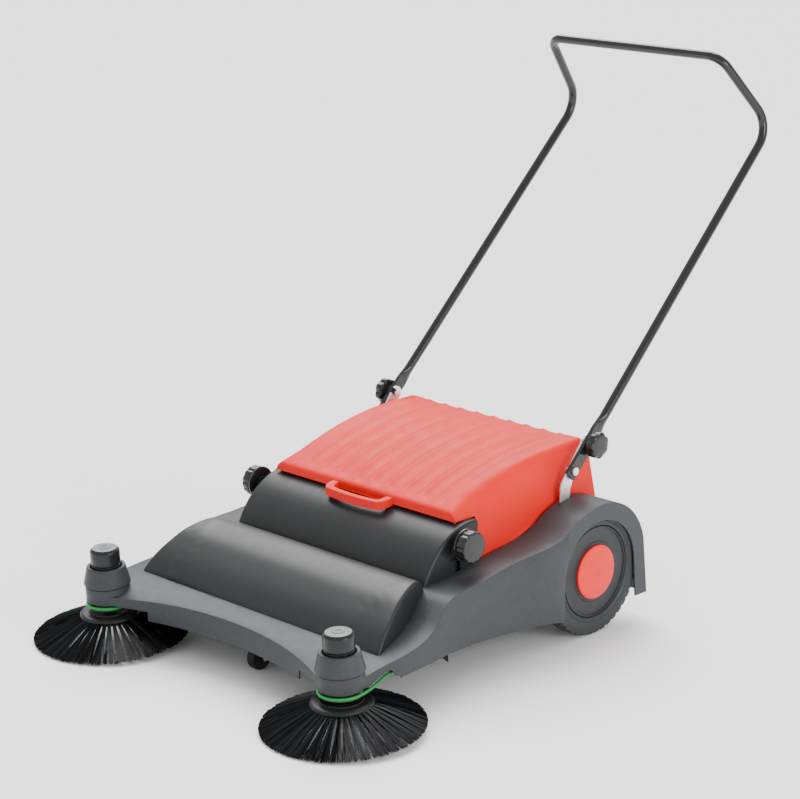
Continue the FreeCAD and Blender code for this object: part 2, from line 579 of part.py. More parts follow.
def main():
    os.makedirs("parts", exist_ok=True)
    body, deck = chassis()
    save("chassis", body)
    save("front_cover", front_cover(deck))
    save("brush_hood", brush_hood(deck))

    tyre, disc, bushes, pulley, cap, axle, nut = wheel_pieces()
    for name, shape in (("tyre", tyre), ("wheel_disc", disc), ("wheel_bushes", bushes),
                        ("drive_pulley", pulley), ("hub_cap", cap), ("stub_axle", axle)):
        save_pair(name, shape)
    save("axle_nuts", both(nut))

    shaft, core, bristles, roller_pulley = roller_pieces()
    save("roller_shaft", shaft)
    save("roller_core", core)
    save("roller_bristles", bristles)
    save("roller_pulley", roller_pulley)
    save("roller_drive_belt", flat_belt())
    save_pair("roller_arm", roller_arm())
    save_pair("hood_knob", fluted_knob(276, STUD_Y, STUD_Z, 31, 33, STUD_R + RUN_GAP, 23, 14))

    housing, side_pulley, hub, side_bristles, knob = side_brush_pieces()
    save_pair("brush_housing", housing)
    save_pair("brush_pulley", side_pulley)
    save_pair("brush_hub", hub)
    save_pair("brush_bristles", side_bristles)
    save_pair("height_knob", knob)
    save_pair("round_belt", round_belt())

    save("lid", lid())
    pin = x_rod(245, PLATE_OUT, LID_HINGE_Y, LID_HINGE_Z, 4)
    save("lid_hinge_pins", both(pin))
    tub, grip = hopper()
    save("hopper", tub)
    save("hopper_grip", grip)

    save("handle_tube", handle_tube())
    save_pair("bracket", bracket())
    leg_outer = LEG_X + LEG_T / 2
    save_pair("clamp_knob", fluted_knob(leg_outer + 0.6, *HANDLE_CLAMP, 26.5, 27, 4.8, 24, 7))
    stud = x_rod(258.6, leg_outer + 22, *HANDLE_CLAMP, 4.8 - RUN_GAP)
    save("clamp_studs", both(stud.fuse(x_rod(255.6, 258.6, *HANDLE_CLAMP, 8))))
    save("handle_pivot_bolts", both(bolt(255, leg_outer + 0.3, *HANDLE_PIVOT, 4, 8, 4)))
    heads = [bolt(255, 266, BRACKET_Y, z, 4, 7, 3) for z in BRACKET_BOLT_Z]
    save("bracket_bolts", Part.makeCompound(heads + [mirrored(h) for h in heads]))

    mount, fork, castor_pin, castor_wheel = castor_pieces()
    save("castor_mount", mount)
    save("castor_fork", fork)
    save("castor_pin", castor_pin)
    save("castor_wheel", castor_wheel)
    front, rear, sides = dust_flaps()
    save("front_dust_flap", front)
    save("rear_dust_flap", rear)
    save("side_dust_flaps", sides)


main()
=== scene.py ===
"""Looks of the walk-behind push sweeper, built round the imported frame.

Shapes are written in millimetres in the machine's own axes: x to the operator's left, y to the rear
from the wheel axle, z up from the floor. at() turns them into metres in the frame's axes.
"""

import math
import random

import bmesh
import bpy
from mathutils import Matrix, Vector


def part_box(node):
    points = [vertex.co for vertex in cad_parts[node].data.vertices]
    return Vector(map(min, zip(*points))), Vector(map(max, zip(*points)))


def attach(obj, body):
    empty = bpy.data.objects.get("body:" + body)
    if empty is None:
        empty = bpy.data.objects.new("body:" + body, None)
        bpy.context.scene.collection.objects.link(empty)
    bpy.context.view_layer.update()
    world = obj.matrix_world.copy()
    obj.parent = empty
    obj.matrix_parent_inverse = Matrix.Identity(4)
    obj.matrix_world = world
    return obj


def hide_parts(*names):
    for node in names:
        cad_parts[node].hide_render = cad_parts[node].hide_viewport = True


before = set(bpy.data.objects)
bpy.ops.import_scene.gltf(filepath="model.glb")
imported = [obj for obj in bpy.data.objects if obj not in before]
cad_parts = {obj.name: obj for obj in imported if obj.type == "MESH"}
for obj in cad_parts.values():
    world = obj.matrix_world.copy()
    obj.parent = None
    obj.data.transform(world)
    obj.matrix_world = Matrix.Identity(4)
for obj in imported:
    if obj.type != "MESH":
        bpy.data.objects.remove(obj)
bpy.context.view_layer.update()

MM = 0.001
AXLE_Y = sum(corner.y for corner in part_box("left_tyre")) / 2
WHEEL_R = (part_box("left_tyre")[1].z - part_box("left_tyre")[0].z) / 2 / MM
SIDES = (("left", 1), ("right", -1))

BRUSH_TILT = math.radians(3.4)
BRUSH_X = sum(corner.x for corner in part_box("left_brush_hub")) / 2 / MM
BRUSH_R = (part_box("left_brush_bristles")[1].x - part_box("left_brush_bristles")[0].x) / 2 / MM
BRUSH_Y = -685.0
BRISTLE_ROOT_R = 56                # radius at which the side bristles leave the hub
ROLLER = (-300.0, 122.0)           # (y, z) of the roller's shaft
ROLLER_HALF = 232.0                # half the length of the roller's bristles
HOOD_KNOB = (-321.0, 251.0)        # (y, z) of the knobs on the hood's ends
CLAMP_KNOB = (50, 370)             # (y, z) of the knobs on the handle
LID_WALL = 3.0

MERGE_DISTANCE = 0.00002           # metres
BUMP_DEPTH = 0.00015               # metres
STRAND_SIDES = 3

CAMERA_PLACE = (3211.6, -3483.4, 1724.6)
CAMERA_AZIMUTH, CAMERA_ELEVATION = math.radians(44.42), math.radians(15.44)
CAMERA_LENS, CAMERA_SENSOR = 108.8, 36
AIR_STRENGTH = 1.05
OVERHEAD_STRENGTH, OVERHEAD_SPREAD = 5.0, math.radians(50)
OVERHEAD_DIRECTION = (0.55, -0.5, -1.0)
SIDE_POWER = 90
FLOOR_HALF, FLOOR_Z = 40, -0.0006


def at(x, y, z):
    return Vector((x * MM, y * MM + AXLE_Y, z * MM))


# ---- materials ---------------------------------------------------------------------------------
def node(tree, kind, **inputs):
    made = tree.nodes.new(kind)
    for name, value in inputs.items():
        made.inputs[name].default_value = value
    return made


def noise_range(tree, coords, scale, low, high, detail=3.0):
    """Object-space noise, spread from low to high."""
    noise = node(tree, "ShaderNodeTexNoise", Scale=scale, Detail=detail)
    tree.links.new(coords, noise.inputs["Vector"])
    spread = tree.nodes.new("ShaderNodeMapRange")
    for name, value in (("From Min", 0.3), ("From Max", 0.7), ("To Min", low), ("To Max", high)):
        spread.inputs[name].default_value = value
    tree.links.new(noise.outputs["Fac"], spread.inputs["Value"])
    return spread.outputs["Result"]


def blend_colours(tree, factor, first, second):
    mix = tree.nodes.new("ShaderNodeMix")
    mix.data_type = "RGBA"
    mix.inputs["A"].default_value = (*first, 1)
    mix.inputs["B"].default_value = (*second, 1)
    tree.links.new(factor, mix.inputs["Factor"])
    return mix.outputs["Result"]


def surface(name, colour, rough, vary=0.1, grain=1400, relief=0.2, rough_vary=0.06,
            metal=0.0, coat=0.0, specular=0.22, scuffs=0.0):
    """Moulded, painted or plated surface: mottled colour, uneven gloss and a fine grain."""
    made = bpy.data.materials.new(name)
    made.use_nodes = True
    tree = made.node_tree
    shader = tree.nodes["Principled BSDF"]
    shader.inputs["Metallic"].default_value = metal
    shader.inputs["Coat Weight"].default_value = coat
    shader.inputs["Coat Roughness"].default_value = 0.12
    shader.inputs["Specular IOR Level"].default_value = specular
    coords = tree.nodes.new("ShaderNodeTexCoord").outputs["Object"]
    mottle = noise_range(tree, coords, 9, 0, 1, 5)
    colours = blend_colours(tree, mottle, [c * (1 - vary) for c in colour],
                            [min(1, c * (1 + vary)) for c in colour])
    if scuffs:
        scratch = noise_range(tree, coords, 160, -1.6, 1.0, 6)
        clamp = tree.nodes.new("ShaderNodeClamp")
        tree.links.new(scratch, clamp.inputs["Value"])
        mix = tree.nodes.new("ShaderNodeMix")
        mix.data_type = "RGBA"
        mix.inputs["B"].default_value = (*[min(1, c + scuffs) for c in colour], 1)
        tree.links.new(clamp.outputs["Result"], mix.inputs["Factor"])
        tree.links.new(colours, mix.inputs["A"])
        colours = mix.outputs["Result"]
    tree.links.new(colours, shader.inputs["Base Color"])
    gloss = noise_range(tree, coords, 38, rough - rough_vary, rough + rough_vary, 4)
    tree.links.new(gloss, shader.inputs["Roughness"])
    fine = node(tree, "ShaderNodeTexNoise", Scale=grain, Detail=2.0)
    tree.links.new(coords, fine.inputs["Vector"])
    bump = node(tree, "ShaderNodeBump", Strength=relief, Distance=BUMP_DEPTH)
    tree.links.new(fine.outputs["Fac"], bump.inputs["Height"])
    tree.links.new(bump.outputs["Normal"], shader.inputs["Normal"])
    return made


def bristle_material():
    """Nylon bristles: every strand has its own shade, from black to blue-grey."""
    made = surface("bristle_nylon", (0.01, 0.011, 0.012), 0.34, grain=2500, specular=0.12)
    tree = made.node_tree
    shader = tree.nodes["Principled BSDF"]
    strand = tree.nodes.new("ShaderNodeNewGeometry").outputs["Random Per Island"]
    power = tree.nodes.new("ShaderNodeMath")
    power.operation = "POWER"
    power.inputs[1].default_value = 3.0
    tree.links.new(strand, power.inputs[0])
    shades = blend_colours(tree, power.outputs["Value"], (0.0012, 0.0013, 0.0014),
                           (0.022, 0.025, 0.031))
    tree.links.new(shades, shader.inputs["Base Color"])
    return made


def zinc_material():
    """Zinc plating with pale crystals."""
    made = surface("zinc_plate", (0.7, 0.71, 0.72), 0.38, metal=0.85, grain=600)
    tree = made.node_tree
    cells = node(tree, "ShaderNodeTexVoronoi", Scale=240.0)
    tree.links.new(tree.nodes["Texture Coordinate"].outputs["Object"], cells.inputs["Vector"])
    shades = blend_colours(tree, cells.outputs["Distance"], (0.62, 0.63, 0.65), (0.9, 0.9, 0.9))
    tree.links.new(shades, tree.nodes["Principled BSDF"].inputs["Base Color"])
    return made


def knob_top_material():
    """Frosted knob top with a coarse light speckle."""
    made = surface("frosted_top", (0.2, 0.2, 0.21), 0.42, grain=700, relief=0.5)
    tree = made.node_tree
    speckle = noise_range(tree, tree.nodes["Texture Coordinate"].outputs["Object"], 620, 0, 1, 2)
    shades = blend_colours(tree, speckle, (0.06, 0.062, 0.065), (0.3, 0.31, 0.32))
    tree.links.new(shades, tree.nodes["Principled BSDF"].inputs["Base Color"])
    return made


GREY = surface("dark_grey_plastic", (0.04, 0.044, 0.048), 0.48, vary=0.07, grain=1500, relief=0.3,
               rough_vary=0.03, scuffs=0.008)
BLACK = surface("black_cover_plastic", (0.018, 0.019, 0.02), 0.4, vary=0.06, grain=1700, relief=0.22,
                rough_vary=0.025, specular=0.28)
KNOB = surface("black_knob_plastic", (0.012, 0.012, 0.013), 0.26, grain=1600, relief=0.12,
               specular=0.4)
KNOB_GREY = surface("grey_knob_plastic", (0.014, 0.015, 0.016), 0.24, grain=1800, relief=0.1,
                    coat=0.1)
RED = surface("red_plastic", (0.8, 0.014, 0.01), 0.46, vary=0.05, grain=1500, relief=0.14,
              specular=0.12)
CAP_RED = surface("red_cap_plastic", (0.86, 0.014, 0.01), 0.3, vary=0.04, grain=1500, relief=0.06)
TYRE = surface("tyre_rubber", (0.034, 0.037, 0.039), 0.6, grain=900, relief=0.4, scuffs=0.012)
DISC = surface("wheel_disc_plastic", (0.024, 0.026, 0.028), 0.42, grain=1300, relief=0.25)
RUBBER = surface("black_rubber", (0.014, 0.014, 0.014), 0.6, grain=700, relief=0.4)
GREEN = surface("green_belt", (0.015, 0.27, 0.05), 0.42, grain=900, relief=0.15)
PAINT = surface("black_paint", (0.01, 0.01, 0.011), 0.18, grain=500, relief=0.06, coat=0.4,
                rough_vary=0.04)
TUB = surface("hopper_plastic", (0.13, 0.134, 0.138), 0.5, grain=1300, relief=0.25)
HUB = surface("brush_hub_plastic", (0.014, 0.0145, 0.015), 0.42, grain=1500, relief=0.12)
BRISTLE = bristle_material()
ZINC = zinc_material()
FROSTED = knob_top_material()


# ---- mesh helpers ------------------------------------------------------------------------------
def piece(name, points, faces, material, body, replaces=(), sharp=35, bevel=0.0, segments=2):
    """A smooth-shaded mesh from points in millimetres, riding on a body."""
    mesh = bpy.data.meshes.new(name)
    mesh.from_pydata([at(*p) for p in points], [], faces)
    work = bmesh.new()
    work.from_mesh(mesh)
    bmesh.ops.remove_doubles(work, verts=work.verts, dist=MERGE_DISTANCE)
    bmesh.ops.recalc_face_normals(work, faces=work.faces)
    work.to_mesh(mesh)
    work.free()
    mesh.materials.append(material)
    mesh.polygons.foreach_set("use_smooth", [True] * len(mesh.polygons))
    mesh.set_sharp_from_angle(angle=math.radians(sharp))
    made = bpy.data.objects.new(name, mesh)
    bpy.context.scene.collection.objects.link(made)
    if bevel:
        round_edges(made, bevel, segments, sharp)
    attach(made, body)
    if replaces:
        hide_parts(*replaces)
    return made


def round_edges(thing, width, segments=2, angle=35):
    rounding = thing.modifiers.new("rounded_edges", "BEVEL")
    rounding.width = width * MM
    rounding.segments = segments
    rounding.limit_method = "ANGLE"
    rounding.angle_limit = math.radians(angle)
    rounding.harden_normals = False
    rounding.use_clamp_overlap = True


def grid_faces(rows, columns, wrap=False):
    """Quads over rows x columns of points; wrap joins the last row to the first."""
    faces = []
    for i in range(rows if wrap else rows - 1):
        for j in range(columns - 1):
            a, b = i * columns + j, (i + 1) % rows * columns + j
            faces.append((a, a + 1, b + 1, b))
    return faces


def catmull(points, steps):
    """Smooth line through the points, with steps samples in each span."""
    padded = [points[0]] + list(points) + [points[-1]]
    line = []
    for i in range(1, len(padded) - 2):
        p0, p1, p2, p3 = (Vector(p) for p in padded[i - 1:i + 3])
        for k in range(steps):
            t = k / steps
            line.append(0.5 * (2 * p1 + (p2 - p0) * t + (2 * p0 - 5 * p1 + 4 * p2 - p3) * t * t
                               + (3 * p1 - p0 - 3 * p2 + p3) * t ** 3))
    return line + [Vector(points[-1])]


def arc_points(cy, cz, radius, start, end, steps):
    """Points of an arc in the y-z plane; angles in degrees from +y towards +z."""
    turns = [math.radians(start + (end - start) * k / steps) for k in range(steps + 1)]
    return [Vector((cy + radius * math.cos(a), cz + radius * math.sin(a))) for a in turns]


def interpolate(table, value):
    """Straight-line reading of (place, height) pairs."""
    for (a, fa), (b, fb) in zip(table, table[1:]):
        if value <= b:
            return fa + (fb - fa) * max(0.0, value - a) / (b - a)
    return table[-1][1]


def basis(axis):
    axis = Vector(axis).normalized()
    side = axis.orthogonal().normalized()
    return side, axis.cross(side), axis


def lathe(name, profile, centre, axis, material, body, replaces=(), turns=96, wave=None,
          bevel=0.0, sharp=35):
    """Turned piece from (radius, height) pairs; wave(angle, radius, height) alters the radius."""
    side, other, axis = basis(axis)
    points = []
    for i in range(turns):
        angle = 2 * math.pi * i / turns
        out = side * math.cos(angle) + other * math.sin(angle)
        for radius, height in profile:
            r = wave(angle, radius, height) if wave else radius
            points.append(Vector(centre) + out * r + axis * height)
    return piece(name, points, grid_faces(turns, len(profile), True), material, body,
                 replaces, sharp, bevel)


def strand(points, faces, path, radii):
    """Adds one thin tapered bristle along path to the lists of points and faces."""
    first, sides = len(points), STRAND_SIDES
    for i, (spot, radius) in enumerate(zip(path, radii)):
        ahead = path[min(i + 1, len(path) - 1)] - path[max(i - 1, 0)]
        side, other, _ = basis(ahead)
        for k in range(sides):
            turn = 2 * math.pi * k / sides
            points.append(spot + side * (radius * math.cos(turn))
                          + other * (radius * math.sin(turn)))
    for i in range(len(path) - 1):
        for k in range(sides):
            a, b = first + i * sides + k, first + i * sides + (k + 1) % sides
            faces.append((a, b, b + sides, a + sides))
    faces.append(tuple(first + k for k in reversed(range(sides))))
    faces.append(tuple(first + (len(path) - 1) * sides + k for k in range(sides)))


# ---- lid ---------------------------------------------------------------------------------------
LID_TOP = [(-307, 303), (-279, 315), (-243, 328), (-205, 339), (-166, 349), (-119, 358), (-62, 365),
           (2, 369), (62, 370)]
LID_LOW = [(-311, 284), (-253, 284), (-251, 276), (-246, 188), (-205, 194), (-160, 206), (-97, 226),
           (-30, 236), (40, 214), (110, 214)]
FLUTE_PITCH, FLUTE_EDGE, FLUTE_DEPTH = 45.4, 181.6, 4.6


def lid_half_width(z):
    return 256.5 - 16.5 * (z - 170) / 202


def flute_relief(x, y):
    """Hollow flutes with sharp crests between them; each ends in a rounded toe near the front."""
    if abs(x) <= FLUTE_EDGE:
        s = (x + FLUTE_EDGE) / FLUTE_PITCH % 1.0
        hollow = 1 - (2 * s - 1) ** 2
    else:
        s = 0.5
        hollow = 0.4 * math.sin(math.pi * min(1.0, (abs(x) - FLUTE_EDGE) / 22))
    toe = -302 + 16 * (2 * s - 1) ** 2
    rise = max(0.0, min(1.0, (y - toe) / 14))
    tail = max(0.0, min(1.0, (86 - y) / 22))
    return -FLUTE_DEPTH * hollow * rise * rise * (3 - 2 * rise) * tail


def crossings(flat):
    """x places across the flat of the top, with one on every crest."""
    steps = [FLUTE_EDGE + (flat - FLUTE_EDGE) * k / 8 for k in range(8, 0, -1)]
    middle = [FLUTE_EDGE - FLUTE_PITCH * k / 14 for k in range(113)]
    return steps + middle + [-x for x in reversed(steps)]


def lid_profile():
    """Stations from the bottom of the front lip, over the top, to the bottom of the rear wall."""
    lip = [Vector((-311, z)) for z in (284, 288, 292, 296)]
    lip += arc_points(-306.5, 297.5, 4.5, 180, 115, 4)
    top = catmull(LID_TOP, 9)
    rear = arc_points(62, 348, 22, 90, 10, 7)[1:]
    wall = [Vector((84 + 22 * t, 350 - 136 * t)) for t in [k / 12 for k in range(1, 13)]]
    return lip + top + rear + wall


def make_lid():
    points = []
    for y, z_top in lid_profile():
        z_low = min(interpolate(LID_LOW, y), z_top - 0.01)
        rest = z_top - z_low
        radius = min(16 + 20 * max(0.0, min(1.0, (-y - 60) / 220)), 0.92 * rest)
        row = []
        for k in range(10):
            z = z_low + (rest - radius) * k / 10
            row.append((lid_half_width(z), z))
        edge = lid_half_width(z_top - radius)
        for k in range(9):
            turn = math.pi / 2 * k / 9
            row.append((edge - radius * (1 - math.cos(turn)), z_top - radius * (1 - math.sin(turn))))
        across = crossings(edge - radius)
        points += [Vector((x, y, z)) for x, z in row]
        points += [Vector((x, y, z_top + flute_relief(x, y))) for x in across]
        points += [Vector((-x, y, z)) for x, z in reversed(row)]
    columns = 2 * len(row) + len(across)
    made = piece("lid_shell", points, grid_faces(len(lid_profile()), columns), RED, "lid",
                 ["lid"], sharp=50)
    shell = made.modifiers.new("wall", "SOLIDIFY")
    shell.thickness = LID_WALL * MM
    shell.offset = -1
    shell.use_even_offset = False
    round_edges(made, 0.9, 2, 60)
    make_grip()


def make_grip():
    """Loop grip at the middle of the lid's front edge: a flat band bent round a finger gap."""
    outer = catmull([(-82, -306), (-82, -320), (-78, -334), (-64, -344), (0, -348), (64, -344),
                     (78, -334), (82, -320), (82, -306)], 6)
    inner = catmull([(-66, -306), (-66, -316), (-63, -326), (-54, -331), (0, -334), (54, -331),
                     (63, -326), (66, -316), (66, -306)], 6)
    points = []
    for out, gap in zip(outer, inner):
        droop = 0.14 * max(0.0, -306 - out.y)
        for spot, z in ((out, 280.5), (out, 298), (gap, 298), (gap, 285), (out, 280.5)):
            points.append(Vector((spot.x, spot.y, z - droop)))
    faces = grid_faces(len(outer), 5)
    last = 5 * (len(outer) - 1)
    faces += [(3, 2, 1, 0), (last, last + 1, last + 2, last + 3)]
    piece("lid_grip", points, faces, RED, "lid", sharp=40, bevel=2.6, segments=4)


# ---- covers ------------------------------------------------------------------------------------
def cover(name, line, half_at, base, edge_radius, node_name, relief=None):
    """Hump swept across the machine, with rounded end edges and flat ends; line is its side view."""
    count = len(line)
    normals = []
    for i in range(count):
        along = line[min(i + 1, count - 1)] - line[max(i - 1, 0)]
        normals.append(Vector((-along.y, along.x)).normalized())
    columns = []
    for turn in [math.pi / 2 * k / 7 for k in range(7, -1, -1)]:
        columns.append((edge_radius * (1 - math.sin(turn)), edge_radius * (1 - math.cos(turn))))
    inner = 60
    points = []
    for spot, normal in zip(line, normals):
        row = []
        for inset, sink in columns:
            low = spot - normal * sink
            row.append(Vector((half_at(low.x) - inset, low.x, max(low.y, base))))
        half = half_at(spot.x) - edge_radius
        for k in range(1, inner):
            x = half - 2 * half * k / inner
            lift = relief(x, spot.x) if relief else 0.0
            row.append(Vector((x, spot.x + normal.x * lift, spot.y + normal.y * lift)))
        row += [Vector((-p.x, p.y, p.z)) for p in reversed(row[:len(columns)])]
        foot = Vector((row[0].x, row[0].y, base))
        points += [foot] + row + [Vector((-foot.x, foot.y, base))]
    width = len(points) // count
    faces = grid_faces(count, width)
    rim = [i * width for i in range(count)]
    faces += [tuple(rim[k] for k in range(count))[::-1], tuple(r + width - 1 for r in rim)]
    return piece(name, points, faces, BLACK, "root", [node_name], sharp=48)


def make_front_cover():
    line = catmull([(-599, 108), (-599, 121), (-588, 136), (-570, 155), (-547, 173), (-518, 192),
                    (-491, 203), (-462, 209), (-437, 206), (-420, 195), (-413, 182), (-413, 168)], 6)

    def half_at(y):
        return 332 - 65 * (y + 599) / 186

    def creases(x, y):
        """Two faint diagonal mould lines that fan out towards each end."""
        height = 0.0
        for near, far in ((262, 232), (272, 252)):
            centre = near + (far - near) * (-464 - y) / 110
            fade = max(0.0, min(1.0, (-455 - y) / 25))
            height += 1.3 * math.exp(-((abs(x) - centre) / 5.0) ** 2) * fade
        return height

    cover("front_cover_shell", line, half_at, 104, 7, "front_cover", creases)


# ---- wheels ------------------------------------------------------------------------------------
def make_tyre(side, sign):
    """Tyre with a zig-zag centre groove, shoulder blocks and a ring on its side wall."""
    a, b, r = 302.0, 338.0, WHEEL_R
    turns, teeth = 420, 42
    shoulder = [(94, b - 1.5), (95.5, b), (103, b), (104, b - 0.7), (105, b), (118, b),
                (r - 7, b - 0.2)]
    tread = [b - 1.2, b - 3, b - 5, b - 8, b - 11, b - 14, b - 18, b - 22, b - 25, b - 28, b - 31,
             b - 33, a + 1.2]
    back = [(r - 7, a + 0.2), (104, a + 0.2), (94, a + 2), (94, b - 1.5)]
    points = []
    for i in range(turns):
        phase = teeth * i / turns % 1.0
        angle = 2 * math.pi * i / turns
        row = list(shoulder)
        for x in tread:
            offset = (x - (a + b) / 2) / ((b - a) / 2)
            zigzag = 0.28 * (4 * abs(phase - 0.5) - 1)
            groove = abs(abs(offset) - 0.42 - zigzag * (1 if offset > 0 else -1) * 0.5) < 0.12
            block = abs(offset) > 0.6 and phase < 0.28
            deep = 2.8 if groove or block else 0.0
            crown = 2.0 * max(0.0, abs(offset) - 0.75) / 0.25
            row.append((r - deep - crown, x))
        row += back
        for radius, x in row:
            points.append(Vector((sign * x, radius * math.sin(angle), r + radius * math.cos(angle))))
    columns = len(shoulder) + len(tread) + len(back)
    piece(side + "_tyre_tread", points, grid_faces(turns, columns, True), TYRE, side + "_wheel",
          [side + "_tyre"], sharp=42)


def make_wheel(side, sign):
    axis, centre = (sign, 0, 0), (0, 0, WHEEL_R)
    make_tyre(side, sign)
    disc = [(17, 296), (26, 296), (26, 323), (84, 323), (84, 305), (92.2, 305), (92.2, 336.2),
            (90.6, 336.8), (89, 336.2), (88.2, 333.5), (86, 333), (62, 333.6), (60.5, 335), (58, 335),
            (17, 335), (17, 296)]
    lathe(side + "_wheel_web", disc, centre, axis, DISC, side + "_wheel",
          [side + "_wheel_disc"], bevel=0.5)
    cap = [(0, 335), (55, 335), (55, 338.4), (54.2, 339.6), (50.5, 340.6), (49, 340.7), (46, 341),
           (20, 341.9), (6.5, 342), (5.6, 341.2), (4.4, 341.2), (3.6, 342), (0, 342)]
    lathe(side + "_hub_cap_shell", cap, centre, axis, CAP_RED, side + "_wheel",
          [side + "_hub_cap"], sharp=25, bevel=0.3)


# ---- side brushes ------------------------------------------------------------------------------
def brush_frame(sign):
    axis = Vector((0, -math.sin(BRUSH_TILT), math.cos(BRUSH_TILT)))
    centre = Vector((sign * BRUSH_X, BRUSH_Y, BRUSH_R * math.sin(BRUSH_TILT)))
    return centre, axis


def make_side_bristles(side, sign):
    """Tufts set in the hub's rim, each a bundle of strands that flare out and droop to the floor."""
    rng = random.Random(11 if sign > 0 else 12)
    centre, axis = brush_frame(sign)
    front, left, axis = basis(axis)
    points, faces = [], []
    tufts, strands = 40, 42
    for i in range(tufts):
        for k in range(strands):
            spread = rng.uniform(-1, 1)
            layer = rng.uniform(0, 1)
            root_turn = 2 * math.pi * (i + 0.5 + 0.24 * spread) / tufts
            tip_turn = 2 * math.pi * (i + 0.5 + 0.56 * spread + rng.uniform(-0.05, 0.05)) / tufts
            reach = BRUSH_R - 0.4 - rng.uniform(0, 1) ** 3 * 6
            path = []
            for step in range(6):
                t = step / 5
                turn = root_turn + (tip_turn - root_turn) * (0.25 * t + 0.75 * t * t)
                radius = BRISTLE_ROOT_R + (reach - BRISTLE_ROOT_R) * t
                height = 46 - 7 * layer - (40 - 7 * layer) * t ** 1.1 - 4.5 * layer * t
                out = front * math.cos(turn) + left * math.sin(turn)
                path.append(centre + out * radius + axis * max(height, 0.9))
            width = rng.uniform(0.75, 1.15)
            strand(points, faces, path, [width, width, width, width, width * 0.95, width * 0.8])
    piece(side + "_side_bristles", points, faces, BRISTLE, side + "_side_brush",
          [side + "_brush_bristles"], sharp=80)


def make_side_brush(side, sign):
    centre, axis = brush_frame(sign)
    make_side_bristles(side, sign)
    hub = [(14.2, 37), (50, 37), (54, 38), (57, 40.5), (58.6, 44), (58.2, 48), (56, 50.5), (50, 51.6),
           (43, 52), (41, 52.4), (40.6, 54.4), (14.2, 54.4), (14.2, 37)]
    lathe(side + "_brush_hub_disc", hub, centre, axis, HUB, side + "_side_brush",
          [side + "_brush_hub"], sharp=40)
    cone = [(16, 103), (16, 107.1), (42.4, 107.1), (42.8, 109), (45.2, 109.4), (46, 110.4), (46, 112),
            (45.2, 116), (38.9, 143), (38.3, 145.2), (37, 146.4), (33, 146.5), (31.6, 145.8),
            (31.4, 137), (14, 136.8), (12, 136.6), (12, 103), (16, 103)]
    lathe(side + "_brush_cone", cone, centre, axis, GREY, "root",
          [side + "_brush_housing"], sharp=40)
    knob = [(0, 183.3), (5.4, 183.3), (6.2, 184.6), (10.6, 184.6), (11.6, 183.2), (22, 183.2),
            (24.4, 182.8), (28.2, 179.6), (29.2, 177.6), (29.5, 175), (29.4, 156), (29, 152),
            (27.6, 150.6), (27.2, 149.5), (28.4, 148.6), (28.6, 147), (28, 138), (5, 138),
            (5, 49.2), (0, 49.2)]
    made = lathe(side + "_height_knob_body", knob, centre, axis, KNOB_GREY, side + "_height_knob",
                 [side + "_height_knob"], sharp=30)
    made.data.materials.append(FROSTED)
    made.data.materials.append(KNOB)
    base = at(*centre)
    for face in made.data.polygons:
        up = (face.center - base).dot(axis) / MM
        if up > 182.0:
            face.material_index = 1
        elif up < 151.0:
            face.material_index = 2


# ---- roller ------------------------------------------------------------------------------------
def make_roller_bristles():
    """Straight rows of tufts along the roller, spaced evenly round it."""
    rng = random.Random(5)
    points, faces = [], []
    rows, along = 18, 64
    for row in range(rows):
        for k in range(along):
            x = -ROLLER_HALF + 2 * ROLLER_HALF * (k + 0.5) / along
            for _ in range(4):
                lean = rng.uniform(-0.05, 0.05)
                turn = 2 * math.pi * row / rows + lean
                slide = x + rng.uniform(-2.6, 2.6)
                path = []
                for reach, bend in ((39.5, 0.0), (72.0, 0.01), (99.0 - rng.uniform(0, 2), 0.035)):
                    angle = turn + bend
                    path.append(Vector((slide, ROLLER[0] + reach * math.cos(angle),
                                        ROLLER[1] + reach * math.sin(angle))))
                strand(points, faces, path, [1.0, 0.95, 0.8])
    piece("roller_tufts", points, faces, BRISTLE, "main_brush", ["roller_bristles"],
          sharp=80)


# ---- knobs -------------------------------------------------------------------------------------
def lobed(count, dip, power, start, rim):
    """Wave for a knob's grip: count hollows of depth dip in the band above height start."""
    def wave(angle, radius, height):
        if height < start or radius < rim:
            return radius
        hollow = (0.5 + 0.5 * math.cos(count * angle)) ** power
        return radius - dip * hollow
    return wave


def make_knobs(side, sign):
    axis = (sign, 0, 0)
    grip = [(6.05, 276), (12.5, 276), (13, 276.5), (13, 283), (31, 283.4), (32, 284), (32, 286.4),
            (31.4, 287.2), (28.8, 287.6), (28.8, 288.4), (30.4, 289.2), (31, 290.5), (31, 305),
            (30.4, 307.2), (29, 308.6), (27, 309), (0, 309), (0, 299), (6.05, 299), (6.05, 276)]
    lathe(side + "_hood_knob_grip", grip, (0, *HOOD_KNOB), axis, KNOB, side + "_hood_knob",
          [side + "_hood_knob"], turns=168,
          wave=lobed(14, 1.5, 2.0, 288.8, 26), sharp=38)
    low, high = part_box(side + "_clamp_knob")
    inner = min(abs(low.x), abs(high.x)) / MM
    star = [(4.8, 0), (12.5, 0), (13, 0.5), (13, 8), (23, 8.3), (26, 9.3), (27, 11), (27.3, 21),
            (26.6, 23.6), (24.4, 25.6), (21, 26.6), (10, 27), (0, 27), (0, 24), (4.8, 24), (4.8, 0)]
    star = [(r, inner + h) for r, h in star]
    lathe(side + "_clamp_knob_grip", star, (0, *CLAMP_KNOB), axis, KNOB, side + "_clamp_knob",
          [side + "_clamp_knob"], turns=168,
          wave=lobed(7, 2.8, 1.4, inner + 8.2, 22), sharp=38)


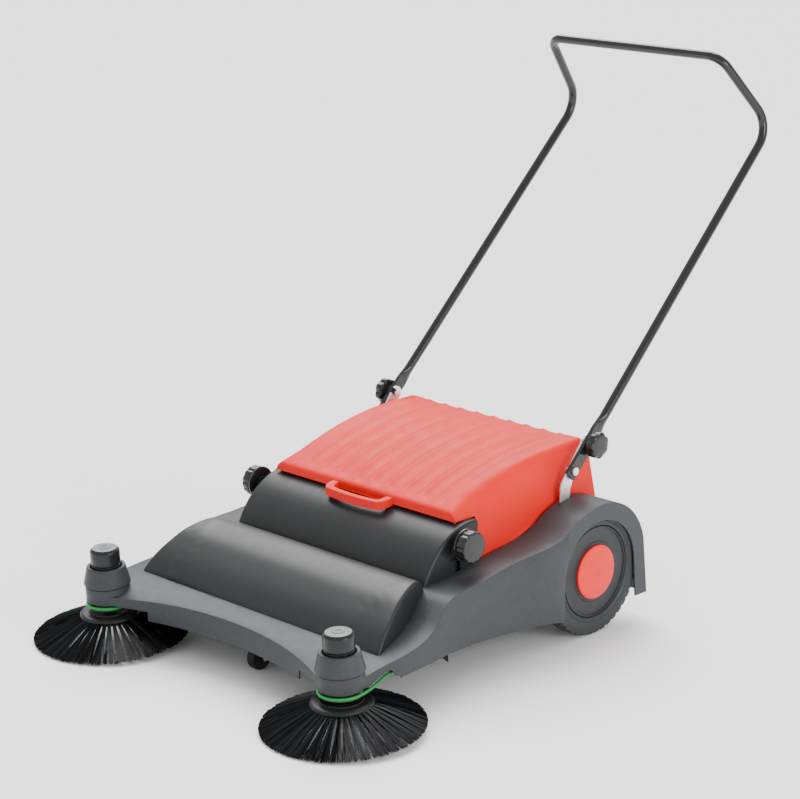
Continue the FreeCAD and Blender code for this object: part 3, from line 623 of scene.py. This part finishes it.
# ---- carried-over nodes ------------------------------------------------------------------------
NODE_LOOKS = {
    "chassis": (GREY, 1.6), "brush_hood": (BLACK, 0.8), "handle_tube": (PAINT, 0),
    "hopper": (TUB, 0.8), "hopper_grip": (TUB, 0), "front_dust_flap": (RUBBER, 0.4),
    "rear_dust_flap": (RUBBER, 0.4), "side_dust_flaps": (RUBBER, 0.4),
    "axle_nuts": (ZINC, 0.6), "bracket_bolts": (ZINC, 0.5), "handle_pivot_bolts": (ZINC, 0.5),
    "clamp_studs": (ZINC, 0.3), "lid_hinge_pins": (ZINC, 0.3), "roller_shaft": (ZINC, 0.4),
    "roller_core": (TUB, 0.5), "roller_pulley": (KNOB, 0.3), "roller_drive_belt": (RUBBER, 0.3),
    "castor_mount": (KNOB, 0.6), "castor_fork": (KNOB, 0.6), "castor_pin": (ZINC, 0.3),
    "castor_wheel": (RUBBER, 1.0),
}
# Roller arms are zinc plated, but are given the dark wheel-disc colour as painted shade, so that the
# hood's slots read dark.
PAIRED_LOOKS = {
    "bracket": (ZINC, 0.5), "stub_axle": (ZINC, 0.5), "wheel_bushes": (TUB, 0.2),
    "drive_pulley": (KNOB, 0.3), "roller_arm": (DISC, 0.4), "brush_pulley": (KNOB, 0.3),
    "round_belt": (GREEN, 0),
}


def dress_nodes():
    looks = dict(NODE_LOOKS)
    for name, look in PAIRED_LOOKS.items():
        for side, _ in SIDES:
            looks[side + "_" + name] = look
    for name, (material, width) in looks.items():
        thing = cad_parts[name]
        thing.data.materials.clear()
        thing.data.materials.append(material)
        if width:
            weld = thing.modifiers.new("joined_corners", "WELD")
            weld.merge_threshold = MERGE_DISTANCE
            round_edges(thing, width, 2, 30)


# ---- studio ------------------------------------------------------------------------------------
def lamp(name, place, target, size, power):
    data = bpy.data.lights.new(name, "AREA")
    data.shape = "RECTANGLE"
    data.size, data.size_y = size
    data.energy = power
    made = bpy.data.objects.new(name, data)
    made.location = place
    made.rotation_mode = "QUATERNION"
    made.rotation_quaternion = (Vector(target) - Vector(place)).to_track_quat("-Z", "Y")
    bpy.context.scene.collection.objects.link(made)


def make_studio():
    mesh = bpy.data.meshes.new("studio_floor")
    corners = [(x * FLOOR_HALF, y * FLOOR_HALF, FLOOR_Z)
               for x, y in ((-1, -1), (1, -1), (1, 1), (-1, 1))]
    mesh.from_pydata(corners, [], [(0, 1, 2, 3)])
    mesh.materials.append(surface("pale_floor", (0.98, 0.98, 0.98), 0.7, vary=0.005, grain=30,
                                  relief=0.02, rough_vary=0.02, specular=0.2))
    floor = bpy.data.objects.new("studio_floor", mesh)
    bpy.context.scene.collection.objects.link(floor)
    world = bpy.data.worlds.new("studio_air")
    world.use_nodes = True
    world.node_tree.nodes["Background"].inputs["Color"].default_value = (1, 1, 1, 1)
    world.node_tree.nodes["Background"].inputs["Strength"].default_value = AIR_STRENGTH
    bpy.context.scene.world = world
    sun = bpy.data.lights.new("overhead_light", "SUN")
    sun.energy, sun.angle = OVERHEAD_STRENGTH, OVERHEAD_SPREAD
    overhead = bpy.data.objects.new("overhead_light", sun)
    overhead.rotation_mode = "QUATERNION"
    overhead.rotation_quaternion = Vector(OVERHEAD_DIRECTION).to_track_quat("-Z", "Y")
    bpy.context.scene.collection.objects.link(overhead)
    lamp("side_light", (4.2, -0.2, 1.5), (0, 0, 0.2), (2.4, 1.8), SIDE_POWER)


def make_camera():
    """Camera low over the front left corner, with a long lens."""
    level = math.cos(CAMERA_ELEVATION)
    back = Vector((math.sin(CAMERA_AZIMUTH) * level, -math.cos(CAMERA_AZIMUTH) * level,
                   math.sin(CAMERA_ELEVATION)))
    data = bpy.data.cameras.new("camera")
    data.lens, data.sensor_width = CAMERA_LENS, CAMERA_SENSOR
    made = bpy.data.objects.new("camera", data)
    made.location = at(*CAMERA_PLACE)
    made.rotation_mode = "QUATERNION"
    made.rotation_quaternion = (-back).to_track_quat("-Z", "Y")
    bpy.context.scene.collection.objects.link(made)
    bpy.context.scene.camera = made


make_camera()
make_studio()
dress_nodes()
make_lid()
make_front_cover()
make_roller_bristles()
for side_name, side_sign in SIDES:
    make_wheel(side_name, side_sign)
    make_side_brush(side_name, side_sign)
    make_knobs(side_name, side_sign)
